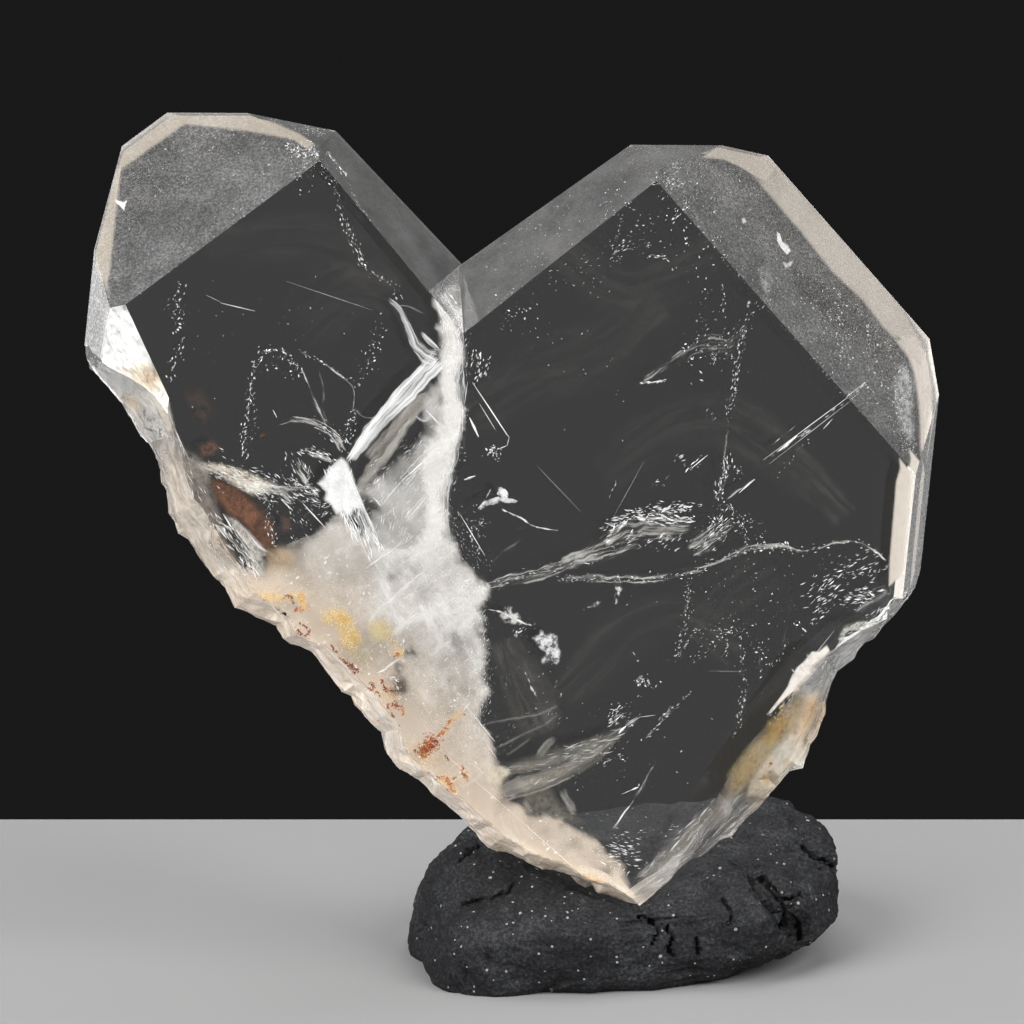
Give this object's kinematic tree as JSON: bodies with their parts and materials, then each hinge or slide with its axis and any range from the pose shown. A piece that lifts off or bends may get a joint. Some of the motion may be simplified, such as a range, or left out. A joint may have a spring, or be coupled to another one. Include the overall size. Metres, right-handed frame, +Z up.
{
  "type": "japan law quartz twin",
  "caption": "Clear, flattened pair of quartz crystals twinned at about eighty-five degrees into a heart, broken below and stood in a lump of dark putty.",
  "frame": {"origin": "on the surface it stands on, under the middle of the putty lump", "axes": "+Z up; the crystal plate faces -Y, leaning back towards +Y; +X is to the right as seen from the front"},
  "size_m": [0.0505, 0.0187, 0.0507],
  "materials": {
    "clear_quartz": "glossy growth faces, frosted on the end faces, broken and milky along the lower left",
    "dark_putty": "matte and crumbly"
  },
  "bodies": {
    "root": {"quartz_twin": "clear_quartz", "putty_lump": "dark_putty"}
  },
  "joints": []
}
